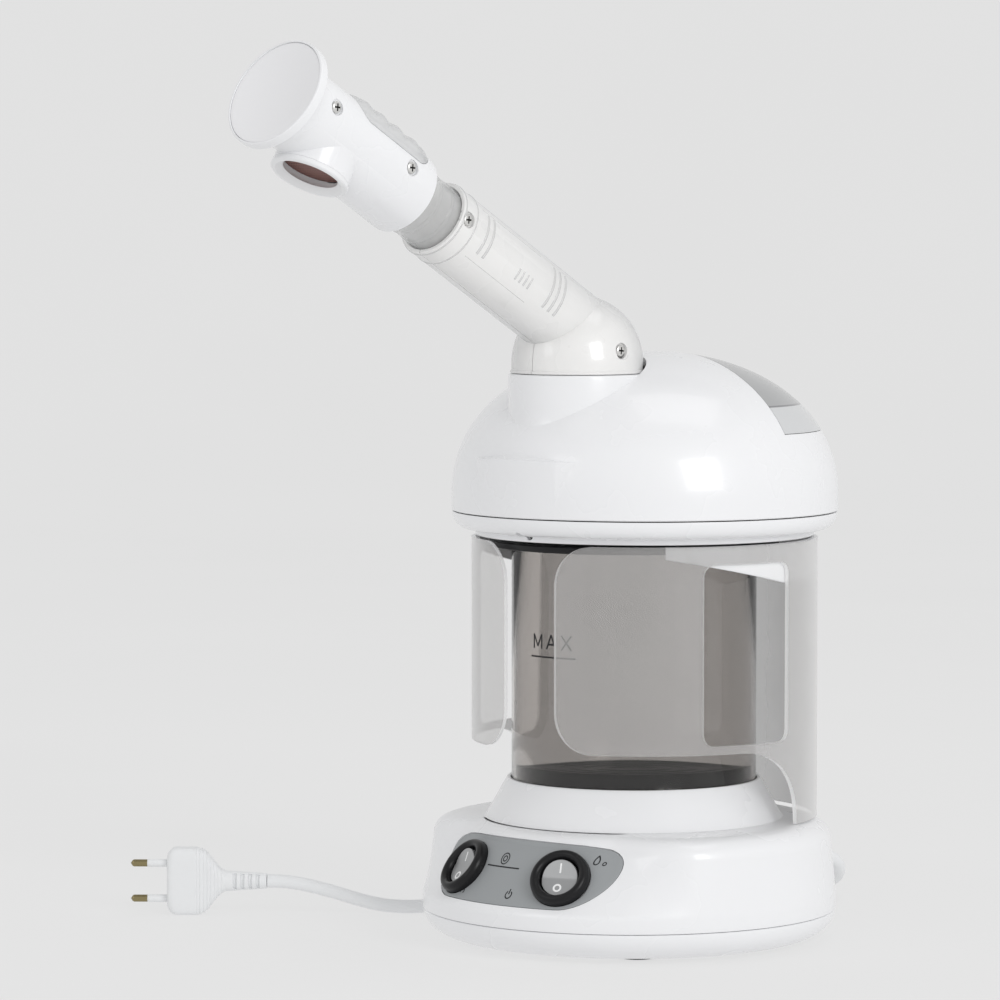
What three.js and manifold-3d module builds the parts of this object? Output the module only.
// Facial steamer: a heater base, a smoked water tank in a frosted guard, a lift-off head,
// and a telescopic steam arm that swivels on the head and carries a turning nozzle.
// Millimetres, +Z up, the control panel and the arm face -Y, and X = 0 is the plane of symmetry.
import * as THREE from 'three';
import { mergeVertices } from 'three/addons/utils/BufferGeometryUtils.js';
import Module from 'manifold-3d';

// Fits
const gap = 0.3; // between pieces that touch
const runningGap = 0.5; // between pieces that move on each other
const cutPast = 5; // how far a cutting tool reaches past what it cuts

// Water tank: the other pieces are sized and stacked round it
const tankRadius = 62.2;
const tankWall = 2.4;
const tankHeight = 130.9;
const tankSeat = 6.5; // of its foot above the base's shelf
const flangeSpread = 11.3; // beyond the tank's wall
const flangeThickness = 3.4;
const fillRadius = 42;
const fillRise = 6;
const fillWall = 2.4;
const boilerRise = 21; // of the heater plate's top above the tank's foot
const boilerThickness = 3;

// Frosted guard
const guardRadius = tankRadius + 25.8;
const guardWall = 2;
const guardOverFlange = 0.9;
const wingLift = 19; // of the wings above the base's neck
const wingEdge = 11; // azimuth of the wing's front edge
const wingCorner = 20;
const windowFrom = 61;
const windowTo = 96;
const windowSill = 4;
const windowHead = 9;
const windowCorner = 6;
const sweepFrom = 75; // azimuth where the guard's lower edge starts down
const sweepTo = 101.5; // azimuth where it reaches the base
const bandFrom = 48;
const bandHeight = 20;
const bandFrontHeight = 6; // of its ends, which its lower edge climbs to
const bandFullAt = 9; // Y from where it has its full height
const bandThickness = 2;

// Base
const baseRadius = guardRadius + 17;
const baseForward = 11.5; // the base's axis in front of the head's axis
const baseFlatRadius = baseRadius - 19;
const baseWall = 2.8;
const baseTaper = 2.5; // the wall leans in by this much up to the shoulder
const footRadius = 9;
const footHeight = 2;
const footCircle = baseFlatRadius - 16;
const seamHeight = 16;
const shoulderHeight = 51;
const shoulderWidth = 14;
const shoulderRise = 11;
const slopeAngle = 37; // of the front wall, from vertical
const slopeFrom = 24;
const slopeFullAzimuth = 34; // the front wall has its full slope up to here
const slopeEndAzimuth = 62; // and none from here on
const neckForward = 8;
const neckFootRadius = tankRadius + 12.3;
const neckGrip = 13.5; // how deep the tank stands in the neck
const neckLip = 1.8;

// Control panel and its two rocker switches
const panelHalfWidth = 57;
const panelFlatHalf = 36;
const panelMargin = 1.5; // of the panel below the switches' bezels
const panelHigh = 57.4;
const panelThickness = 1.2;
const switchAzimuth = 20.3;
const switchHeight = 41;
const rockerRadius = 9.5;
const rockerTilt = 9;
const switchWell = rockerRadius + 0.7;
const switchBodyRadius = switchWell + 2.6;
const bezelRadius = switchBodyRadius + 2.4;
const bezelRise = 4.8;
const switchDepth = 16;

// Head
const collarRadius = guardRadius - 2;
const collarClear = 1; // above the guard's top edge
const collarHeight = 12;
const domeRadius = guardRadius + 10.2;
const domeHeight = 81;
const domeWall = 2.5;
const inlayHeight = 39.5;
const inlayThickness = 1.5;
const inlayFront = 4;
const wellDepth = 10; // of the turret's well under the dome's top
const ductRadius = 16;

// Arm: distances run from the turret's axis along the arm
const armAngle = 29; // above horizontal
const tubeRadius = 16.8;
const pivotRise = tubeRadius + 3.7; // where the arm's axis crosses the turret's, above the well's floor
const elbowRadius = tubeRadius + 16.2;
const elbowRise = elbowRadius + 1; // of its crown above its collar
const elbowWall = 2.4;
const bossForward = 51;
const bossRadius = elbowRadius + 1.6;
const tubeWall = 1.8;
const tubeStart = 52;
const sleeveRadius = tubeRadius + runningGap + 2.3;
const sleeveEnd = 119;
const screwHeadRadius = 2.9;
const screwPocketRadius = 4;
const screwPocketDepth = 1.4;

// Nozzle
const nozzleRadius = tubeRadius + runningGap + 3.7;
const nozzleWall = 2.4;
const nozzleStart = sleeveEnd + 23.5;
const nozzleGrasp = 34; // length of tube inside it
const barrelLength = 79.5;
const flareLength = 14.5;
const cupLip = 4.5;
const cupRadius = nozzleRadius + 7.2;
const portAlong = nozzleStart + 59.5;
const portRadius = 19;
const portRise = 3.6; // of its rim above the barrel
const portWall = 3.4;
const gripStart = nozzleStart + 4.5;
const gripLength = 56;
const gripHalfWidth = 18.5; // seen from above the nozzle, so it reaches well round the barrel
const gripCorner = 9;
const gripRise = 3;

// Mains cord
const cordDiameter = 7;
const glandLength = 34;
const glandHeight = 30;
const coilRadius = 38.5; // at the middle of its turns
const coilColumns = 2;
const coilLayers = 2;
const coilCentre = [-80, 228];
const plugLength = 52.5;
const plugWidth = 35.3;
const plugThickness = 13.7;
const pinLength = 19;
const pinDiameter = 4;
const pinSpacing = 18.6;

// Facets round a turned piece
const frontStep = 32;
const fineStep = 24;
const smallStep = 12;

const rad = THREE.MathUtils.degToRad;

// The stack, from the base's shelf up
const shelfHeight = shoulderHeight + shoulderRise;
const tankFoot = shelfHeight + tankSeat;
const neckTop = tankFoot + neckGrip;
const boilerTop = tankFoot + boilerRise;
const tankTop = tankFoot + tankHeight;
const flangeFoot = tankTop + gap;
const flangeTop = flangeFoot + flangeThickness;
const guardTop = flangeTop + guardOverFlange;
const wingLow = neckTop + wingLift;
const windowLow = wingLow + windowSill;
const windowHigh = guardTop - windowHead;
const collarFoot = guardTop + collarClear;
const headSeam = collarFoot + collarHeight;
const domeTop = headSeam + domeHeight;
const inlayLow = domeTop - inlayHeight;
const bossTop = domeTop - wellDepth;
const pivotHeight = bossTop + pivotRise;

const panelLow = switchHeight - bezelRadius * Math.cos(rad(slopeAngle)) - panelMargin;

// Stations along the nozzle
const tubeEnd = nozzleStart + nozzleGrasp;
const flareStart = nozzleStart + barrelLength;
const rimStart = flareStart + flareLength;
const cupFace = rimStart + cupLip;
const portReach = nozzleRadius + portRise;
const portBore = portRadius - portWall;
const gripEnd = gripStart + gripLength;

const wasm = await Module();
wasm.setup();

// ---- Solids ----

// A closed geometry, moved by a matrix if one is given, as a solid that can be joined and cut.
function solid(geometry, matrix) {
  const bare = geometry.clone();
  bare.deleteAttribute('normal');
  bare.deleteAttribute('uv');
  if (matrix) bare.applyMatrix4(matrix);
  const merged = mergeVertices(bare, 1e-4);
  return new wasm.Manifold(
    new wasm.Mesh({
      numProp: 3,
      vertProperties: merged.attributes.position.array,
      triVerts: new Uint32Array(merged.index.array),
    }),
  );
}

function geometryOf(body) {
  const mesh = body.getMesh();
  const geometry = new THREE.BufferGeometry();
  geometry.setAttribute('position', new THREE.BufferAttribute(new Float32Array(mesh.vertProperties), 3));
  geometry.setIndex(new THREE.BufferAttribute(new Uint32Array(mesh.triVerts), 1));
  geometry.computeVertexNormals();
  return geometry;
}

const join = (first, ...rest) => rest.reduce((body, next) => body.add(next), first);
const cut = (first, ...rest) => rest.reduce((body, next) => body.subtract(next), first);

const shift = (x, y, z) => new THREE.Matrix4().makeTranslation(x, y, z);

// A profile of [radius, height] points, anticlockwise, turned about the vertical axis.
function turned(profile, steps = fineStep) {
  const points = profile.map(([radius, height]) => new THREE.Vector2(radius, height));
  return new THREE.LatheGeometry(points, steps).rotateX(Math.PI / 2);
}

// The same for a profile that doesn't meet the axis: it closes on itself.
const ring = (profile, steps) => turned([...profile, profile[0]], steps);

// A profile of [radius, distance] points turned about the local Y axis, as the arm's pieces are.
function alongArm(profile, steps = fineStep) {
  return new THREE.LatheGeometry(profile.map(([radius, along]) => new THREE.Vector2(radius, along)), steps);
}
const ringAlongArm = (profile, steps) => alongArm([...profile, profile[0]], steps);

// A vertical disc or rod from one height to another.
const rod = (radius, low, high, steps = smallStep) =>
  turned([[0, low], [radius, low], [radius, high], [0, high]], steps);

// A box between two corners.
function block(low, high) {
  const size = high.map((value, i) => value - low[i]);
  const centre = high.map((value, i) => (value + low[i]) / 2);
  return new THREE.BoxGeometry(...size).translate(...centre);
}

// Points of an elliptic arc in a profile, from one angle to another.
function arc(centreX, centreY, radiusX, radiusY, from, to, steps) {
  return Array.from({ length: steps + 1 }, (_, i) => {
    const angle = rad(from + ((to - from) * i) / steps);
    return [centreX + radiusX * Math.cos(angle), centreY + radiusY * Math.sin(angle)];
  });
}

// An outline in the front view (x, z), carried from y = from to y = to.
function frontPrism(shape, from, to, curveSegments = 8) {
  return new THREE.ExtrudeGeometry(shape, { depth: to - from, bevelEnabled: false, curveSegments })
    .rotateX(Math.PI / 2)
    .translate(0, to, 0);
}

// ---- The assembly ----

const steamer = new THREE.Group();
const basePlace = shift(0, -baseForward, 0);
const neckPlace = shift(0, -neckForward, 0);
const bossPlace = shift(0, -bossForward, 0);

const finishes = {
  whiteGloss: { color: 0xf1f2f4, roughness: 0.28, metalness: 0 },
  whiteSatin: { color: 0xe9ebed, roughness: 0.42, metalness: 0 },
  panelGrey: { color: 0x9a9d9f, roughness: 0.45, metalness: 0 },
  inlayGrey: { color: 0xb4b7b7, roughness: 0.3, metalness: 0 },
  black: { color: 0x17181a, roughness: 0.3, metalness: 0 },
  blackMatt: { color: 0x242527, roughness: 0.7, metalness: 0 },
  rubber: { color: 0x3a3b3d, roughness: 0.85, metalness: 0 },
  smoked: { color: 0x6e6864, roughness: 0.2, metalness: 0 },
  frosted: { color: 0xd7dadd, roughness: 0.45, metalness: 0 },
  clear: { color: 0xe3e6e8, roughness: 0.15, metalness: 0 },
  steel: { color: 0xc9ccd0, roughness: 0.25, metalness: 1 },
  brass: { color: 0x9a8452, roughness: 0.35, metalness: 1 },
  board: { color: 0x2f6b47, roughness: 0.6, metalness: 0 },
  mesh: { color: 0x5b3833, roughness: 0.6, metalness: 0 },
};
const materials = Object.fromEntries(
  Object.entries(finishes).map(([name, values]) => [name, new THREE.MeshStandardMaterial(values)]),
);

function addPiece(name, shape, finish, parent = steamer) {
  const geometry = shape.isBufferGeometry ? shape : geometryOf(shape);
  const mesh = new THREE.Mesh(geometry, materials[finish]);
  mesh.name = name;
  parent.add(mesh);
  return mesh;
}

// ---- Base ----

// How much the front wall is pressed in at an azimuth: 1 in front, easing to 0 at the sides.
function slopeShare(azimuth) {
  return 1 - THREE.MathUtils.smoothstep(Math.abs(azimuth), rad(slopeFullAzimuth), rad(slopeEndAzimuth));
}

// The radius that is left of a full radius at a height and azimuth, about the base's axis.
function pressed(radius, height, azimuth) {
  const rise = THREE.MathUtils.clamp(height - slopeFrom, 0, shoulderHeight + 4 - slopeFrom);
  const taper = baseTaper / (shoulderHeight - slopeFrom);
  const depth = rise * (Math.tan(rad(slopeAngle)) - taper) * slopeShare(azimuth);
  return radius * (1 - depth / baseRadius);
}

// The radius of the base's wall at a height, before the front is pressed in.
const wallRadius = (height) =>
  baseRadius - (baseTaper * Math.max(0, height - slopeFrom)) / (shoulderHeight - slopeFrom);

// The base's outer body, drawn in by an inset, about its own axis.
function bodyBlank(inset, floor) {
  const wallSteps = 3;
  const wall = Array.from({ length: wallSteps + 1 }, (_, i) => {
    const height = slopeFrom + ((shoulderHeight - slopeFrom) * i) / wallSteps;
    return [wallRadius(height) - inset, height];
  });
  const shoulder = arc(
    wallRadius(shoulderHeight) - shoulderWidth, shoulderHeight,
    shoulderWidth - inset, shelfHeight - shoulderHeight - inset, 20, 90, 4,
  );
  const geometry = turned(
    [[0, floor], [baseRadius - inset, floor], ...wall, ...shoulder, [0, shelfHeight - inset]],
    frontStep,
  );
  const position = geometry.attributes.position;
  for (let i = 0; i < position.count; i++) {
    const x = position.getX(i);
    const y = position.getY(i);
    const radius = Math.hypot(x, y);
    if (radius < 1) continue;
    const share = pressed(radius, position.getZ(i), Math.atan2(x, -y)) / radius;
    position.setXY(i, x * share, y * share);
  }
  return solid(geometry, basePlace);
}

// The panel's outline in the front view, grown all round by an allowance.
function panelPrism(allowance) {
  const half = panelHalfWidth + allowance;
  const flat = panelFlatHalf + allowance / 2;
  const low = panelLow - allowance;
  const high = panelHigh + allowance;
  const middle = (low + high) / 2 + 4;
  const shape = new THREE.Shape();
  shape.moveTo(-flat, low);
  shape.lineTo(flat, low);
  shape.bezierCurveTo(flat + 14, low, half, middle - 8, half, middle);
  shape.bezierCurveTo(half, high - 2, flat + 8, high - 2, flat, high - 1);
  shape.lineTo(0, high);
  shape.lineTo(-flat, high - 1);
  shape.bezierCurveTo(-flat - 8, high - 2, -half, high - 2, -half, middle);
  shape.bezierCurveTo(-half, middle - 8, -flat - 14, low, -flat, low);
  return solid(frontPrism(shape, -baseRadius - baseForward - cutPast, 0));
}

// Frame of a switch: origin on the sloping wall, local X level, local Z out of the wall.
function switchPlace(side) {
  const azimuth = rad(side * switchAzimuth);
  const radius = pressed(wallRadius(switchHeight), switchHeight, azimuth);
  const slope = rad(slopeAngle);
  const outward = new THREE.Vector3(
    Math.sin(azimuth) * Math.cos(slope), -Math.cos(azimuth) * Math.cos(slope), Math.sin(slope),
  );
  const level = new THREE.Vector3(Math.cos(azimuth), Math.sin(azimuth), 0);
  const up = new THREE.Vector3().crossVectors(outward, level);
  return new THREE.Matrix4()
    .makeBasis(level, up, outward)
    .setPosition(radius * Math.sin(azimuth), -radius * Math.cos(azimuth) - baseForward, switchHeight);
}

const sides = { left: -1, right: 1 };
const wellFloor = 7; // of a switch's housing, under the rocker
const baseInside = bodyBlank(baseWall, seamHeight - cutPast);
const neckTopRadius = tankRadius + gap + neckLip;
const neckCone = solid(
  turned([
    [0, shelfHeight - cutPast],
    [neckFootRadius + 1, shelfHeight - cutPast],
    [neckFootRadius + 1, shelfHeight],
    [neckFootRadius, shelfHeight + 1.5],
    [neckTopRadius + 0.8, neckTop - 1.2],
    [neckTopRadius, neckTop],
    [0, neckTop],
  ], frontStep),
  neckPlace,
);
const ledgeRadius = tankRadius - tankWall - 5;
const neckBore = solid(
  turned([
    [0, seamHeight],
    [ledgeRadius, seamHeight],
    [ledgeRadius, tankFoot - 2.5],
    [tankRadius + gap, tankFoot - 2.5],
    [tankRadius + gap, neckTop + cutPast],
    [0, neckTop + cutPast],
  ], frontStep),
  neckPlace,
);
const panelSkin = cut(bodyBlank(0, seamHeight + gap), bodyBlank(panelThickness, seamHeight));
const pocketSkin = cut(bodyBlank(-1, seamHeight + gap), bodyBlank(panelThickness + gap, seamHeight));
const glandPlace = shift(0, baseRadius - baseForward, glandHeight)
  .multiply(new THREE.Matrix4().makeRotationX(-Math.PI / 2));
const glandBore = cordDiameter / 2 + 1.6;

let baseShell = cut(join(bodyBlank(0, seamHeight + gap), neckCone), baseInside, neckBore);
baseShell = cut(baseShell, panelPrism(gap).intersect(pocketSkin));
let controlPanel = panelPrism(0).intersect(panelSkin);
for (const side of Object.values(sides)) {
  const place = switchPlace(side);
  const bodyHole = rod(switchBodyRadius + gap, -switchDepth - cutPast, cutPast, fineStep);
  baseShell = cut(baseShell, solid(bodyHole, place));
  controlPanel = cut(controlPanel, solid(rod(bezelRadius + gap, -cutPast, cutPast, fineStep), place));
}
baseShell = cut(baseShell, solid(rod(glandBore + gap, -3 * baseWall, cutPast), glandPlace));
addPiece('base_shell', baseShell, 'whiteGloss');
addPiece('control_panel', controlPanel, 'panelGrey');

// Tray that closes the base from below, with a lip inside the shell and posts for the circuit board.
const lipRadius = baseRadius - baseWall - gap;
const trayFloor = 2.6;
const tray = turned([
  [0, footHeight],
  [baseFlatRadius, footHeight],
  ...arc(baseFlatRadius, seamHeight, baseRadius - 0.4 - baseFlatRadius, seamHeight - footHeight, -75, 0, 5),
  [lipRadius, seamHeight],
  [lipRadius, seamHeight + 4],
  [lipRadius - 2, seamHeight + 4],
  [lipRadius - 2, seamHeight - 4],
  [baseFlatRadius, footHeight + trayFloor],
  [0, footHeight + trayFloor],
], frontStep);
const boardLow = 12;
const boardCentre = [0, 38]; // behind the tank's axis, seen from the base's axis
const boardHalf = [34, 20];
const postInset = 5;
const corners = [[-1, -1], [1, -1], [1, 1], [-1, 1]];
const posts = corners.map(([x, y]) =>
  solid(
    rod(3, footHeight + trayFloor / 2, boardLow - gap, 12),
    shift(
      boardCentre[0] + x * (boardHalf[0] - postInset),
      boardCentre[1] + y * (boardHalf[1] - postInset) - baseForward, 0,
    ),
  ),
);
const footPlaces = corners.map(([x, y]) => [
  x * footCircle * Math.SQRT1_2, y * footCircle * Math.SQRT1_2 - baseForward,
]);
const stemRadius = 2.6;
const stemHoles = footPlaces.map(([x, y]) =>
  solid(rod(stemRadius + gap, 0, footHeight + trayFloor + cutPast, 12), shift(x, y, 0)));
addPiece('base_tray', cut(join(solid(tray, basePlace), ...posts), ...stemHoles), 'whiteGloss');

const footProfile = [
  [0, 0], [footRadius - 1, 0], [footRadius, 0.8],
  [footRadius, footHeight - gap], [stemRadius, footHeight - gap],
  [stemRadius, footHeight + trayFloor + 1.5], [0, footHeight + trayFloor + 1.5],
];
const footNames = ['foot_front_left', 'foot_front_right', 'foot_rear_right', 'foot_rear_left'];
footNames.forEach((name, i) => {
  addPiece(name, turned(footProfile, smallStep), 'rubber').position.set(...footPlaces[i], 0);
});

// ---- Rocker switches ----

for (const [label, side] of Object.entries(sides)) {
  const holder = new THREE.Group();
  holder.applyMatrix4(switchPlace(side));
  steamer.add(holder);
  const housing = turned([
    [0, -switchDepth],
    [switchBodyRadius, -switchDepth],
    [switchBodyRadius, -0.8],
    [bezelRadius, -0.8],
    ...arc(
      (bezelRadius + switchWell) / 2, bezelRise / 3,
      (bezelRadius - switchWell) / 2, (2 * bezelRise) / 3, 0, 150, 4,
    ),
    [switchWell, bezelRise / 3],
    [switchWell, -wellFloor],
    [0, -wellFloor],
  ], smallStep + 8);
  addPiece('switch_housing_' + label, housing, 'black', holder);

  // Rocker: two shallow facets that meet over the hinge, rounded to fit the housing's well.
  const facets = new THREE.Shape();
  const tip = rockerRadius + 1;
  facets.moveTo(-3, -3.6);
  facets.lineTo(3, -3.6);
  facets.lineTo(tip, -1.6);
  facets.lineTo(tip, 3.2);
  facets.lineTo(0, 1.5);
  facets.lineTo(-tip, 3.2);
  facets.lineTo(-tip, -1.6);
  const bar = new THREE.ExtrudeGeometry(facets, { depth: 2 * tip, bevelEnabled: false })
    .translate(0, 0, -tip)
    .rotateY(Math.PI / 2)
    .rotateX(Math.PI / 2);
  const rocker = solid(bar).intersect(solid(rod(rockerRadius, -cutPast, cutPast, smallStep + 8)));
  addPiece('rocker_' + label, rocker, 'steel', holder).rotation.x = rad(rockerTilt);
}

// ---- Inside the base ----

const elementRadius = 36;
const elementThickness = 4;
const elementHeight = boilerTop - boilerThickness - gap - elementThickness;
addPiece('boiler_plate', turned([
  [0, boilerTop - boilerThickness],
  [tankRadius - tankWall - gap - 2.4, boilerTop - boilerThickness],
  [tankRadius - tankWall - gap - 2.4, tankFoot],
  [tankRadius - tankWall - gap, tankFoot],
  [tankRadius - tankWall - gap, boilerTop],
  [0, boilerTop],
], frontStep), 'black').position.y = -neckForward;
addPiece('heating_element', ring(
  arc(elementRadius, elementHeight, elementThickness, elementThickness, 0, 315, 7),
), 'steel').position.y = -neckForward;
addPiece('thermostat', rod(9, elementHeight - 9, boilerTop - boilerThickness - gap), 'black')
  .position.y = -neckForward;
addPiece('tank_gasket', ring([
  [ledgeRadius + 1, tankFoot - 2.5 + gap], [tankRadius, tankFoot - 2.5 + gap],
  [tankRadius, tankFoot - gap], [ledgeRadius + 1, tankFoot - gap],
], frontStep), 'rubber').position.y = -neckForward;

const board = block([-boardHalf[0], -boardHalf[1], boardLow], [boardHalf[0], boardHalf[1], boardLow + 1.6]);
const boardTop = boardLow + 1.6 + gap;
for (const [name, shape, finish] of [
  ['circuit_board', board, 'board'],
  ['transformer', block([-26, -14, boardTop], [-2, 10, boardTop + 22]), 'blackMatt'],
  ['ioniser_module', block([6, -12, boardTop], [28, 8, boardTop + 14]), 'blackMatt'],
]) {
  addPiece(name, shape, finish).position.set(boardCentre[0], boardCentre[1] - baseForward, 0);
}

// ---- Tank ----

addPiece('water_tank', ring([
  [tankRadius - tankWall, tankFoot], [tankRadius, tankFoot], [tankRadius, tankTop],
  [tankRadius - tankWall, tankTop],
], frontStep), 'smoked').position.y = -neckForward;
const flangeRadius = tankRadius + flangeSpread;
addPiece('tank_flange', ring([
  [fillRadius - fillWall, flangeFoot], [flangeRadius, flangeFoot], [flangeRadius, flangeTop],
  [fillRadius, flangeTop], [fillRadius, flangeTop + fillRise], [fillRadius - fillWall, flangeTop + fillRise],
], frontStep), 'black').position.y = -neckForward;

// ---- Guard ----

// A curved block that passes right through the guard's wall. Its outline on the unrolled cylinder is a
// row of stations [azimuth in degrees, lowest height, highest height].
function throughGuard(stations) {
  const outer = guardRadius + cutPast;
  const inner = guardRadius - guardWall - cutPast;
  const points = stations.flatMap(([azimuth, low, high]) =>
    [[outer, low], [outer, high], [inner, high], [inner, low]].map(([radius, height]) => [
      radius * Math.sin(rad(azimuth)), -radius * Math.cos(rad(azimuth)), height,
    ]),
  );
  const triangles = [0, 1, 2, 0, 2, 3];
  const last = 4 * (stations.length - 1);
  for (let station = 0; station < last; station += 4) {
    for (let i = 0; i < 4; i++) {
      const a = station + i;
      const b = station + ((i + 1) % 4);
      triangles.push(a, a + 4, b, b, a + 4, b + 4);
    }
  }
  triangles.push(last, last + 2, last + 1, last, last + 3, last + 2);
  const geometry = new THREE.BufferGeometry();
  geometry.setAttribute('position', new THREE.Float32BufferAttribute(points.flat(), 3));
  geometry.setIndex(triangles);
  return solid(geometry);
}

// The same block on the other side of the plane of symmetry.
const onLeft = (stations) => stations.map(([azimuth, low, high]) => [-azimuth, low, high]).reverse();
const onBothSides = (stations) => [throughGuard(stations), throughGuard(onLeft(stations))];

const guardPitch = 5; // azimuth between stations
const degreesPer = 180 / (Math.PI * guardRadius); // azimuth of 1 mm round the guard

// Azimuths from one value to another, closer together than the pitch.
function azimuths(from, to, pitch = guardPitch) {
  const steps = Math.max(1, Math.ceil((to - from) / pitch));
  return Array.from({ length: steps + 1 }, (_, i) => from + ((to - from) * i) / steps);
}

// Height of a round corner above its lower tangent, at a share of the way from its edge to its end.
const cornerRise = (share, radius) => radius * (1 - Math.sqrt(Math.max(0, 1 - (1 - share) ** 2)));

const wingCornerTo = wingEdge + wingCorner * degreesPer;
const cornerStations = [0, 0.04, 0.15, 0.35, 0.65, 1];
const below = shelfHeight - cutPast;
const above = guardTop + cutPast;
const frontGap = azimuths(0, wingEdge).map((azimuth) => [azimuth, below, above]);
const underWing = [
  ...cornerStations.map((share) => [
    wingEdge + share * (wingCornerTo - wingEdge), below, wingLow + cornerRise(share, wingCorner),
  ]),
  ...azimuths(wingCornerTo, sweepFrom).slice(1).map((azimuth) => [azimuth, below, wingLow]),
  ...[30, 50, 65, 78, 90].map((angle) => [
    sweepFrom + (sweepTo - sweepFrom) * Math.sin(rad(angle)),
    below,
    shelfHeight + 4 + (wingLow - shelfHeight - 4) * Math.cos(rad(angle)),
  ]),
];
const overWing = cornerStations.map((share) => [
  wingEdge + share * (wingCornerTo - wingEdge), guardTop - cornerRise(share, wingCorner), above,
]);
const windowCornerTurn = windowCorner * degreesPer;
const windowStation = (azimuth, share) => [
  azimuth, windowLow + cornerRise(share, windowCorner), windowHigh - cornerRise(share, windowCorner),
];
const windowHole = [
  ...cornerStations.map((share) => windowStation(windowFrom + share * windowCornerTurn, share)),
  ...azimuths(windowFrom + windowCornerTurn, windowTo - windowCornerTurn).slice(1, -1)
    .map((azimuth) => windowStation(azimuth, 1)),
  ...cornerStations.toReversed().map((share) => windowStation(windowTo - share * windowCornerTurn, share)),
];
const guardBlank = solid(ring([
  [guardRadius - guardWall, shelfHeight + gap], [guardRadius, shelfHeight + gap],
  [guardRadius, guardTop], [guardRadius - guardWall, guardTop],
], frontStep));
addPiece('steam_guard', cut(
  guardBlank, ...[frontGap, underWing, overWing, windowHole].flatMap(onBothSides),
), 'frosted');

// White band inside the guard's upper edge, open to the front.
const bandRadius = guardRadius - guardWall - gap;
const bandGap = new THREE.Shape();
bandGap.moveTo(0, 0);
bandGap.lineTo(-2 * guardRadius * Math.sin(rad(bandFrom)), 2 * guardRadius * Math.cos(rad(bandFrom)));
bandGap.lineTo(2 * guardRadius * Math.sin(rad(bandFrom)), 2 * guardRadius * Math.cos(rad(bandFrom)));
const bandWedge = new THREE.ExtrudeGeometry(bandGap, { depth: 2 * bandHeight, bevelEnabled: false })
  .rotateZ(Math.PI)
  .translate(0, 0, guardTop - 1.5 * bandHeight);
const bandRing = solid(ring([
  [bandRadius - bandThickness, guardTop - bandHeight], [bandRadius, guardTop - bandHeight],
  [bandRadius, guardTop], [bandRadius - bandThickness, guardTop],
], frontStep));
const bandEndY = -bandRadius * Math.cos(rad(bandFrom));
const underBand = solid(
  new THREE.ExtrudeGeometry(
    new THREE.Shape([
      [bandFullAt, guardTop - bandHeight],
      [bandEndY, guardTop - bandFrontHeight],
      [bandEndY - cutPast, guardTop - bandFrontHeight],
      [bandEndY - cutPast, guardTop - bandHeight - cutPast],
      [bandFullAt, guardTop - bandHeight - cutPast],
    ].map((point) => new THREE.Vector2(...point))),
    { depth: 4 * guardRadius, bevelEnabled: false },
  )
    .rotateX(Math.PI / 2)
    .rotateZ(Math.PI / 2)
    .translate(-2 * guardRadius, 0, 0),
);
addPiece('guard_band', cut(bandRing, solid(bandWedge), underBand), 'whiteSatin');

// ---- Head ----

// Outer surface of the dome: a tall ellipse that flattens towards the top.
const rimHeight = 8; // the dome's upright rim above its seam
const domeRise = domeTop - headSeam - rimHeight;
const domePower = 2.15;
const domeArc = (inset, steps) => Array.from({ length: steps + 1 }, (_, i) => {
  const angle = (Math.PI / 2) * (i / steps);
  return [
    (domeRadius - inset) * Math.cos(angle) ** (2 / domePower),
    headSeam + rimHeight + (domeRise - inset) * Math.sin(angle) ** (2 / domePower),
  ];
});
const domeBlank = (inset, floor) => solid(
  turned([[0, floor], [domeRadius - inset, floor], ...domeArc(inset, 9)], frontStep),
);
const bossBlank = (inset, top) => solid(turned([
  [0, headSeam + rimHeight],
  [bossRadius - inset + 16, headSeam + rimHeight],
  ...arc(bossRadius - inset + 16, bossTop - 16, 16, 26, 270, 180, 4).slice(1),
  [bossRadius - inset, top - 1.5],
  [bossRadius - inset - 1.5, top],
  [0, top],
], fineStep), bossPlace);

const domeFloor = headSeam + gap;
const ductBore = solid(
  rod(ductRadius + gap, bossTop - 4 * domeWall, bossTop + cutPast, smallStep), bossPlace,
);
const domeSkin = cut(domeBlank(0, domeFloor), domeBlank(inlayThickness, domeFloor - 1));
const inlayPocket = cut(domeBlank(-2, domeFloor), domeBlank(inlayThickness + gap, domeFloor - 1));

// Outline of the rear inlay from above, grown by an allowance: it bows back towards the dome's top.
function inlayPrism(allowance) {
  const bow = 16;
  const half = domeRadius + cutPast;
  const front = inlayFront - allowance;
  const outline = new THREE.Shape();
  outline.moveTo(-half, front);
  outline.bezierCurveTo(-half / 3, front, -half / 5, front + bow, 0, front + bow);
  outline.bezierCurveTo(half / 5, front + bow, half / 3, front, half, front);
  outline.lineTo(half, half);
  outline.lineTo(-half, half);
  const depth = domeTop + cutPast - inlayLow + allowance;
  return solid(
    new THREE.ExtrudeGeometry(outline, { depth, bevelEnabled: false, curveSegments: 6 })
      .translate(0, 0, inlayLow - allowance),
  );
}
// The boss flares into the dome and never stands outside the dome's rim.
const insideRim = (inset) => solid(rod(domeRadius - inset, domeFloor, domeTop, frontStep));
const domeInside = join(
  domeBlank(domeWall + inlayThickness, domeFloor - 1),
  bossBlank(domeWall, bossTop - domeWall).intersect(insideRim(domeWall)),
);
const domeOutside = join(domeBlank(0, domeFloor), bossBlank(0, bossTop).intersect(insideRim(0)));
// The turret stands in a round well that is sunk into the dome's crown down to the boss's flat top.
const turretWell = solid(rod(bossRadius, bossTop, domeTop + cutPast, fineStep), bossPlace);
addPiece('head_dome', cut(
  domeOutside, domeInside, ductBore, turretWell, inlayPrism(gap).intersect(inlayPocket),
), 'whiteGloss');
addPiece('rear_inlay', inlayPrism(0).intersect(domeSkin), 'inlayGrey');

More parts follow.
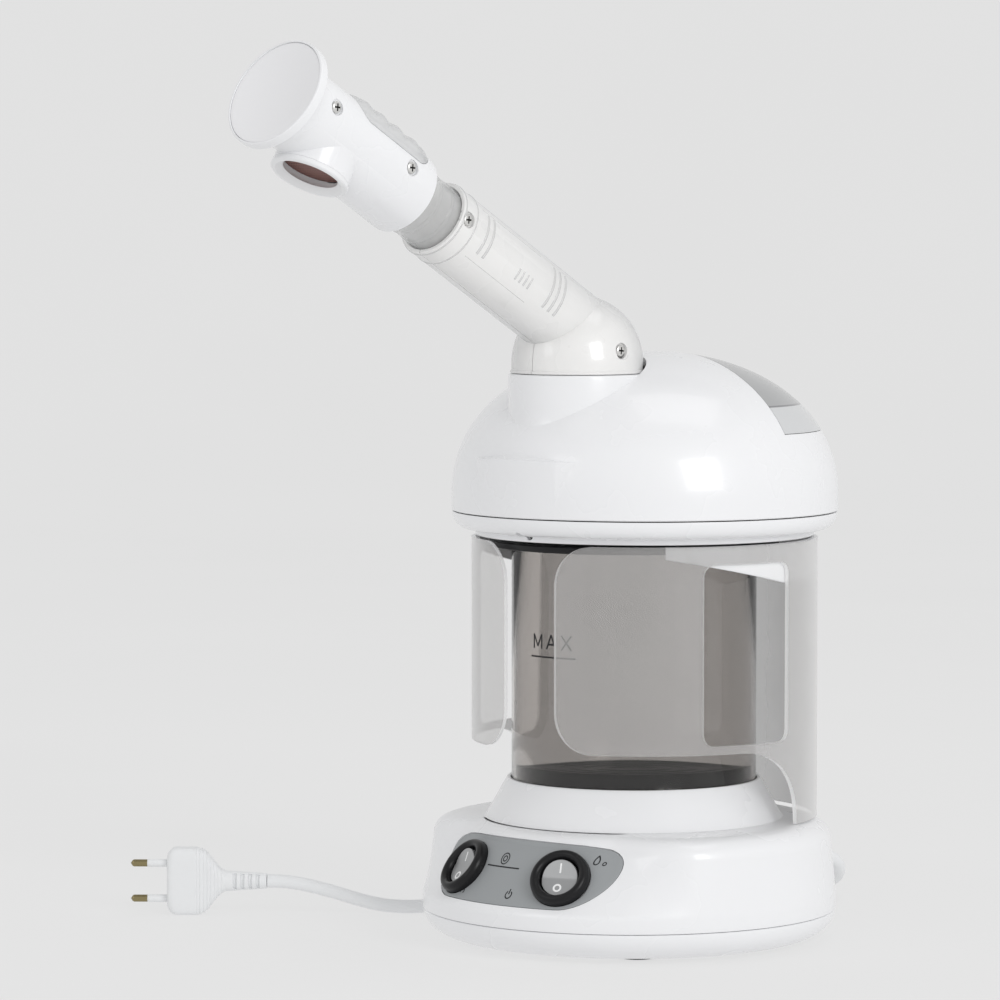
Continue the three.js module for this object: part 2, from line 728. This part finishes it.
// Collar that closes the head from below and drops over the guard's top edge.
const collarDeck = collarFoot + 3.4;
const mouthRadius = fillRadius + 1 + neckForward;
addPiece('head_collar', ring([
  [mouthRadius, collarDeck + 1.5],
  [collarRadius - 2.4, collarDeck + 1.5],
  [collarRadius - 2.4, collarFoot],
  [collarRadius, collarFoot],
  [collarRadius, collarFoot + 2.5],
  ...arc(domeRadius - 8, headSeam - 0.5, 7.6, 8, -70, 0, 4),
  [domeRadius - 0.5, headSeam],
  [domeRadius - domeWall - 2, headSeam],
  [domeRadius - domeWall - 4, headSeam - 2],
  [collarRadius - 4, collarDeck + 4],
  [mouthRadius, collarDeck + 4],
], frontStep), 'whiteGloss');

const ductFoot = collarDeck + 4 + gap;
const ductSpread = mouthRadius + 3;
const ductWall = 1.8;
// Steam hood: a funnel over the tank's mouth that leads into the boss.
const ductOuter = (inset, low, high) => join(
  solid(turned([
    [0, low], [ductSpread - inset, low], [ductSpread - inset, ductFoot + 6],
    [ductRadius + 6 - inset, ductFoot + 26], [0, ductFoot + 26],
  ])),
  solid(new THREE.ExtrudeGeometry(
    new THREE.Shape().absarc(0, 0, ductRadius - 1 - inset, 0, 2 * Math.PI),
    {
      extrudePath: new THREE.CatmullRomCurve3([
        new THREE.Vector3(0, 0, ductFoot + 18), new THREE.Vector3(0, -8, ductFoot + 30),
        new THREE.Vector3(0, -bossForward + 8, bossTop - 34),
        new THREE.Vector3(0, -bossForward, bossTop - 22),
        new THREE.Vector3(0, -bossForward, high),
      ]),
      steps: 8, curveSegments: 5, bevelEnabled: false,
    },
  )),
);
const steamDuct = cut(ductOuter(0, ductFoot, bossTop - 2), ductOuter(ductWall, ductFoot - 1, bossTop));
addPiece('steam_duct', steamDuct, 'whiteSatin');
addPiece('head_seal', ring([
  [fillRadius + gap, flangeTop + 1.2], [mouthRadius - neckForward + 4, flangeTop + 1.2],
  [mouthRadius - neckForward + 4, flangeTop + 1.2 + 2], [fillRadius + gap, flangeTop + 1.2 + 2],
], frontStep), 'rubber').position.y = -neckForward;

// ---- Turret and arm ----

const elbowFoot = bossTop + gap;
const armFrame = new THREE.Matrix4()
  .makeRotationX(Math.PI - rad(armAngle))
  .setPosition(0, -bossForward, pivotHeight);

// The swivelling elbow: a half-egg over the boss, with the arm's sleeve growing out of its front.
const elbowCollar = 5;
const elbowBlank = (inset) => solid(turned([
  [0, elbowFoot - (inset ? 1 : 0)],
  [elbowRadius + 0.6 - inset, elbowFoot - (inset ? 1 : 0)],
  [elbowRadius + 0.6 - inset, elbowFoot + 1.2],
  ...arc(0, elbowFoot + elbowCollar, elbowRadius - inset, elbowRise - inset, 0, 90, 8),
]), bossPlace);
const sleeveBlank = (radius, from, to) =>
  solid(alongArm([[0, from], [radius, from], [radius, to], [0, to]]), armFrame);
const sleeveBore = tubeRadius + runningGap;
const far = 400; // beyond the arm in every direction
const aboveFoot = solid(block([-far, -far, elbowFoot], [far, far, elbowFoot + far]));
const armOutside = join(elbowBlank(0), sleeveBlank(sleeveRadius, 0, sleeveEnd)).intersect(aboveFoot);
const armInside = join(
  elbowBlank(elbowWall),
  sleeveBlank(sleeveBore, 0, sleeveEnd + cutPast),
);
const armShell = cut(armOutside, armInside);

// The half of a body on one side of the plane of symmetry, with half the joint's gap cut away.
function halfOf(body, side) {
  const low = [side > 0 ? gap / 2 : -far, -far, 0];
  const high = [side > 0 ? far : -gap / 2, far, 2 * far];
  return body.intersect(solid(block(low, high)));
}

// Screws on the right side, as [distance along the arm, distance under its axis, distance out].
// The upper arm screw stops the tube, and the rear nozzle screw runs in the tube's groove.
const armScrews = {
  arm_screw_upper: [sleeveEnd - 5, -1.5, sleeveRadius - 0.2],
  arm_screw_lower: [-2, 8.6, elbowRadius - 1.2],
};
const nozzleScrews = {
  nozzle_screw_front: [cupFace - 22, -4, nozzleRadius - 0.2],
  nozzle_screw_rear: [nozzleStart + 18.5, -4, nozzleRadius - 0.6],
};
const seatFloor = 0.3; // wall left under a screw's head

// Frame of a screw: local Z points out of the right side.
const screwPlace = ([along, under, out]) => armFrame.clone()
  .multiply(shift(out, along, under))
  .multiply(new THREE.Matrix4().makeRotationY(Math.PI / 2));
const screwShape = turned([
  [0, -screwPocketDepth], [screwHeadRadius, -screwPocketDepth], [screwHeadRadius, -screwPocketDepth + 0.7],
  [screwHeadRadius * 0.6, -screwPocketDepth + 1.1], [0, -screwPocketDepth + 1.2],
], smallStep);
function seatScrews(body, screws) {
  const pocket = rod(screwPocketRadius, -screwPocketDepth - seatFloor, cutPast, smallStep);
  return Object.values(screws).reduce((seated, place) => cut(seated, solid(pocket, screwPlace(place))), body);
}

addPiece('arm_shell_right', seatScrews(halfOf(armShell, 1), armScrews), 'frosted');
addPiece('arm_shell_left', halfOf(armShell, -1), 'frosted');

function addScrews(screws) {
  for (const [name, place] of Object.entries(screws)) {
    addPiece(name, screwShape, 'steel').applyMatrix4(screwPlace(place));
  }
}
addScrews(armScrews);

const arm = new THREE.Group();
arm.applyMatrix4(armFrame);
steamer.add(arm);

// Swivel ring between the boss and the elbow, and the clear tube that slides in the sleeve.
addPiece('swivel_ring', ring([
  [ductRadius - 3, bossTop + gap + 1], [elbowRadius - elbowWall - runningGap, bossTop + gap + 1],
  [elbowRadius - elbowWall - runningGap, bossTop + 3], [ductRadius - 3, bossTop + 3],
]), 'whiteSatin').applyMatrix4(bossPlace);

const beadAlong = [sleeveEnd + 6, sleeveEnd + 15];
const beadRise = 0.3; // low enough to slide back into the sleeve
const bead = (along) => [
  [tubeRadius, along - 1.2], [tubeRadius + beadRise, along - 0.6],
  [tubeRadius + beadRise, along + 0.6], [tubeRadius, along + 1.2],
];
addPiece('telescopic_tube', ringAlongArm([
  [tubeRadius - tubeWall, tubeStart],
  [tubeRadius, tubeStart],
  ...beadAlong.flatMap(bead),
  [tubeRadius, tubeEnd],
  [tubeRadius - tubeWall, tubeEnd],
]), 'clear', arm);
addPiece('tube_stop_ring', ringAlongArm([
  [tubeRadius - tubeWall - gap - 1.6, tubeStart + 2],
  [tubeRadius - tubeWall - gap, tubeStart + 2],
  [tubeRadius - tubeWall - gap, tubeStart + 8],
  [tubeRadius - tubeWall - gap - 1.6, tubeStart + 8],
]), 'whiteSatin', arm);

// ---- Nozzle ----

const nozzleBlank = solid(
  alongArm([
    [0, nozzleStart],
    [nozzleRadius, nozzleStart],
    ...arc(cupRadius, flareStart, cupRadius - nozzleRadius, rimStart - flareStart, 180, 90, 4),
    [cupRadius, cupFace],
    [0, cupFace],
  ]),
  armFrame,
);
const capRadius = cupRadius - 1.2;
const capSeat = cupFace - 4;
const nozzleHollow = join(
  solid(alongArm([
    [0, nozzleStart + 6],
    [nozzleRadius - nozzleWall, nozzleStart + 6],
    [nozzleRadius - nozzleWall, rimStart - cutPast],
    [0, rimStart - cutPast],
  ]), armFrame),
  solid(alongArm([[0, capSeat], [capRadius, capSeat], [capRadius, cupFace + 1], [0, cupFace + 1]]), armFrame),
);
const nozzleMouth = solid(
  alongArm([[0, nozzleStart - 1], [sleeveBore, nozzleStart - 1], [sleeveBore, tubeEnd], [0, tubeEnd]]),
  armFrame,
);
const portFrame = armFrame.clone().multiply(shift(0, portAlong, 0));
const portBlank = solid(rod(portRadius, 0, portReach - 3, fineStep), portFrame);
const portHollow = solid(rod(portBore, 0, portReach + cutPast, fineStep), portFrame);

// The grip's slot along the top of the nozzle, grown by an allowance.
function gripBlock(allowance, low, high) {
  const inset = gripHalfWidth - gripCorner;
  const radius = gripCorner + allowance;
  const quarter = Math.PI / 2;
  const outline = new THREE.Shape();
  outline.absarc(inset, gripEnd - gripCorner, radius, 0, quarter);
  outline.absarc(-inset, gripEnd - gripCorner, radius, quarter, 2 * quarter);
  outline.absarc(-inset, gripStart + gripCorner, radius, 2 * quarter, 3 * quarter);
  outline.absarc(inset, gripStart + gripCorner, radius, 3 * quarter, 4 * quarter);
  return solid(
    new THREE.ExtrudeGeometry(outline, { depth: high - low, bevelEnabled: false, curveSegments: 6 })
      .translate(0, 0, -high),
    armFrame,
  );
}
const gripSeat = nozzleRadius - 1.4; // radius of the slot's floor, which leaves the nozzle closed
const seatCore = (radius) => solid(
  alongArm([
    [0, gripStart - cutPast], [radius, gripStart - cutPast],
    [radius, gripEnd + cutPast], [0, gripEnd + cutPast],
  ]),
  armFrame,
);
const gripSlot = cut(gripBlock(gap, 0, nozzleRadius + cutPast), seatCore(gripSeat));
const nozzleShell = cut(join(nozzleBlank, portBlank), nozzleHollow, nozzleMouth, portHollow, gripSlot);
addPiece('nozzle_shell', seatScrews(nozzleShell, nozzleScrews), 'whiteGloss');
addScrews(nozzleScrews);

const gripCrown = nozzleRadius + gripRise;
const gripTop = solid(alongArm([
  [0, gripStart - 1], [gripCrown - 1.6, gripStart - 1], [gripCrown, gripStart + 12],
  [gripCrown, gripEnd - 12], [gripCrown - 1.6, gripEnd + 1], [0, gripEnd + 1],
]), armFrame);
addPiece('finger_grip', cut(
  gripBlock(0, 0, nozzleRadius + cutPast).intersect(gripTop), seatCore(gripSeat + gap),
), 'clear');

addPiece('nozzle_cap', alongArm([
  [0, capSeat + gap],
  [capRadius - gap, capSeat + gap],
  [capRadius - gap, cupFace - 0.6],
  [capRadius - 4, cupFace - 1.6],
  [0, cupFace - 2.6],
]), 'whiteSatin', arm);

const portRingLow = portReach - 3 + gap;
addPiece('port_ring', ring([
  [portBore - 2.5, portRingLow], [portRadius, portRingLow], [portRadius + 0.4, portReach - 0.8],
  [portRadius - 0.6, portReach], [portRadius - 2, portReach],
]), 'whiteSatin').applyMatrix4(portFrame);
addPiece('port_mesh', rod(portBore - gap, portReach - 8, portReach - 6.4, fineStep), 'mesh')
  .applyMatrix4(portFrame);

// ---- Mains cord ----

const cordLift = cordDiameter / 2;
const glandFlange = baseWall + 2.2; // the wall leans in here, so the inner flange stands off it
const gland = turned([
  [0, -glandFlange - 3], [glandBore + 2.4, -glandFlange - 3], [glandBore + 2.4, -glandFlange],
  [glandBore, -glandFlange], [glandBore, 0.6], [glandBore + 1.6, 0.6], [glandBore + 1.6, 3],
  [cordLift + 1.2, glandLength * 0.6], [cordLift + 0.5, glandLength], [0, glandLength],
], smallStep);
addPiece('cord_gland', gland, 'whiteSatin').applyMatrix4(glandPlace);

// The finished frame: the object without its cord is centred over the origin.
steamer.updateMatrixWorld(true);
const span = new THREE.Box3();
steamer.traverse((piece) => {
  if (piece.isMesh && piece.name !== 'cord_gland') span.expandByObject(piece, true);
});
const part = new THREE.Group();
part.add(steamer);
steamer.position.y = -(span.min.y + span.max.y) / 2;

// The stretches that aren't coiled, on the surface that the steamer stands on.
const flat = cordDiameter / 2 + 0.1;
const cordToCoil = [
  [0, 216.5, 30], [0, 224, 29.6], [0, 232, 27.6], [-2.9, 246.5, 21.6], [-11.1, 258.9, 14],
  [-23.5, 267.1, 7.6], [-38, 270, 4.4], [-54.4, 270, flat],
];
const cordToPlug = [
  [-122, 202.4, 10.4], [-122.4, 188, 9.4], [-123.6, 168, 6.8], [-125.4, 146, 4.6], [-127.4, 124, flat],
  [-129.4, 102, flat], [-131, 84, flat], [-132.8, 70, flat], [-137, 56.8, 3.9], [-144.5, 46.6, 5],
  [-153.5, 38.4, 7.6], [-165, 28, 12.2], [-176.5, 17.6, 16], [-184, 10.8, 17.4], [-190, 5.4, 17.65],
];

function cordTube(points, steps) {
  const section = new THREE.Shape();
  section.absarc(0, 0, cordDiameter / 2, 0, 2 * Math.PI);
  const path = new THREE.CatmullRomCurve3(points.map((point) => new THREE.Vector3(...point)));
  const options = { extrudePath: path, steps, curveSegments: 4, bevelEnabled: false };
  return new THREE.ExtrudeGeometry(section, options);
}
addPiece('cord_to_coil', cordTube(cordToCoil, 7), 'whiteSatin', part);
addPiece('cord_to_plug', cordTube(cordToPlug, 16), 'whiteSatin', part);
const coilHalf = (coilColumns * cordDiameter) / 2;
addPiece('cord_coil', ring([
  [coilRadius - coilHalf, 0], [coilRadius + coilHalf, 0], [coilRadius + coilHalf, coilLayers * cordDiameter],
  [coilRadius - coilHalf, coilLayers * cordDiameter],
]), 'whiteSatin', part).position.set(...coilCentre, 0);

// Two-pin plug: local X runs from the cord's end to the pins. It lies on its narrow edge.
const plug = new THREE.Group();
const tail = cordToPlug.at(-1);
const beforeTail = cordToPlug.at(-3);
plug.position.set(...tail);
plug.rotation.z = Math.atan2(tail[1] - beforeTail[1], tail[0] - beforeTail[0]);
part.add(plug);
const plugHalf = plugWidth / 2;
const plugOutline = new THREE.Shape(
  [
    [20, 5.4], [plugLength - 21, plugHalf - 1], [plugLength - 16, plugHalf], [plugLength - 3, plugHalf],
    [plugLength, plugHalf - 3.5], [plugLength, 3.5 - plugHalf], [plugLength - 3, -plugHalf],
    [plugLength - 16, -plugHalf], [plugLength - 21, 1 - plugHalf], [20, -5.4],
  ].map((point) => new THREE.Vector2(...point)),
);
const plugBody = new THREE.ExtrudeGeometry(plugOutline, { depth: plugThickness, bevelEnabled: false })
  .translate(0, 0, -plugThickness / 2)
  .rotateX(Math.PI / 2);
const relief = turned([[0, gap], [4.2, gap], [5.2, 22], [0, 22]], smallStep).rotateY(Math.PI / 2);
addPiece('plug_body', join(solid(plugBody), solid(relief)), 'whiteSatin', plug);
for (const [name, side] of [['plug_pin_upper', 1], ['plug_pin_lower', -1]]) {
  const pin = turned([
    [0, 0], [pinDiameter / 2, 0], [pinDiameter / 2, pinLength - 1], [pinDiameter / 2 - 1, pinLength - gap],
    [0, pinLength - gap],
  ], smallStep).rotateY(Math.PI / 2);
  addPiece(name, pin, 'brass', plug).position.set(plugLength + gap, 0, (side * pinSpacing) / 2);
}

export default part;
